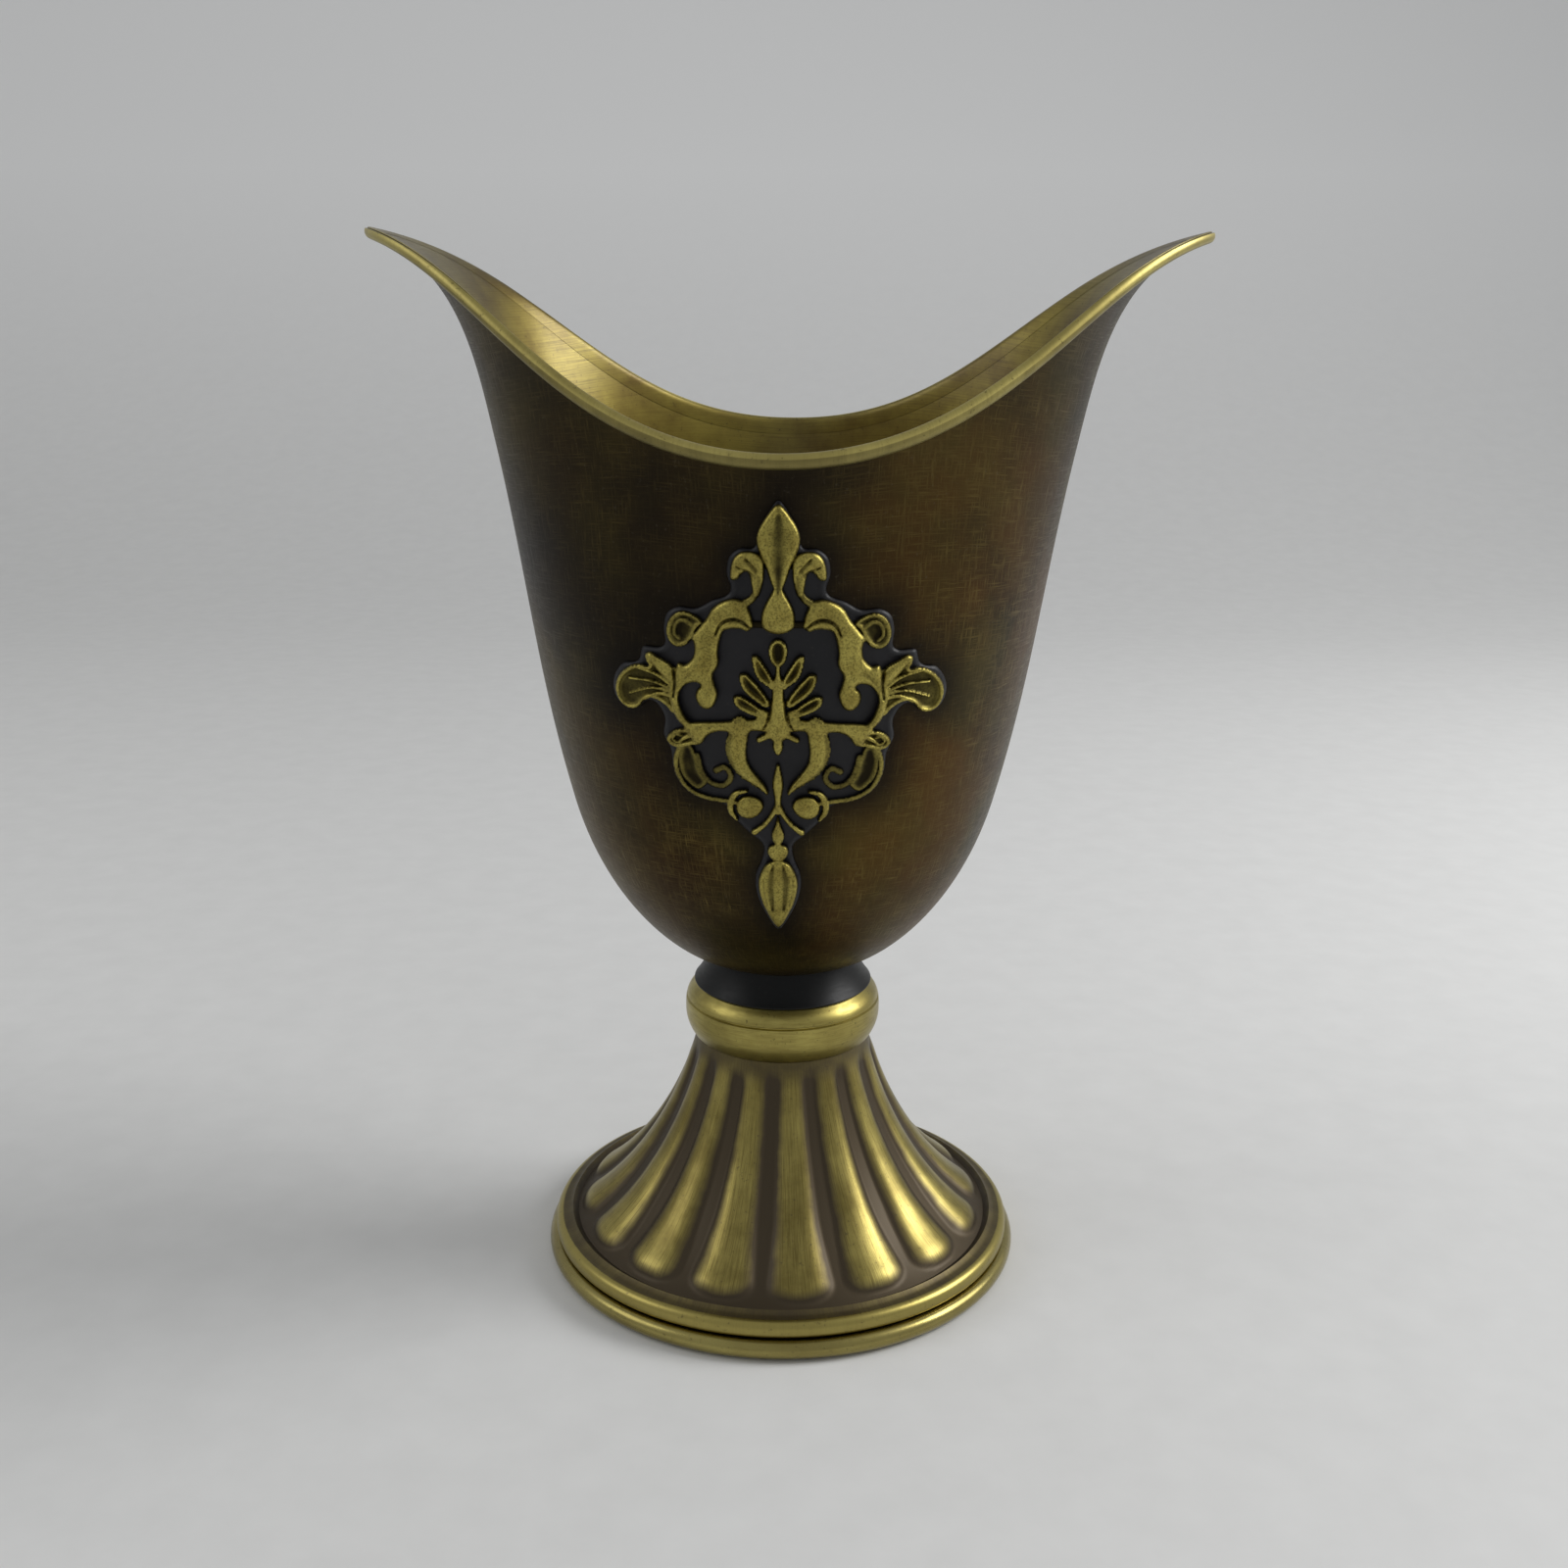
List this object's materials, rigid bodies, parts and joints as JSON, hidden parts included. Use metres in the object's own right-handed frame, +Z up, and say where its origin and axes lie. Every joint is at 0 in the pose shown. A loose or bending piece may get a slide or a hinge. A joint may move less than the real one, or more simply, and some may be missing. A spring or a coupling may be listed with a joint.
{
  "type": "pedestal vase",
  "caption": "Pedestal vase with a boat-mouthed spun cup, a bound rim, an openwork medallion, a dark neck, a turned collar and a fluted trumpet foot.",
  "frame": {"origin": "on the floor, under the centre of the vase", "axes": "+Z up along the vase's axis, +X towards one pointed end of the mouth, -Y towards the side with the medallion"},
  "size_m": [0.23, 0.1621, 0.3036],
  "materials": {
    "felt": "dense felt",
    "base_brass": "polished antique brass",
    "foot_antique_brass": "brushed antique brass, dark in the grooves",
    "collar_brass": "polished antique brass",
    "neck_black": "satin black",
    "cup_patina": "dark bronze patina with crossed brush marks, bare brass inside",
    "rim_brass": "rubbed antique brass",
    "ground_black": "smooth blue-black",
    "ornament_brass": "rubbed relief, dark in the recesses",
    "bolt_brass": "plain",
    "seal_rubber": "matte",
    "zinc_steel": "zinc plated"
  },
  "bodies": {
    "root": {"felt_ring": "felt", "base_ring": "base_brass", "foot_shell": "foot_antique_brass", "collar_ring": "collar_brass", "neck_spacer": "neck_black", "cup_shell": "cup_patina", "rim_bead": "rim_brass", "medallion_ground": "ground_black", "medallion_ornament": "ornament_brass", "sealing_washer": "seal_rubber", "cup_washer": "bolt_brass", "cup_bolt": "bolt_brass", "foot_washer": "zinc_steel", "spring_washer": "zinc_steel", "foot_nut": "zinc_steel"}
  },
  "joints": []
}
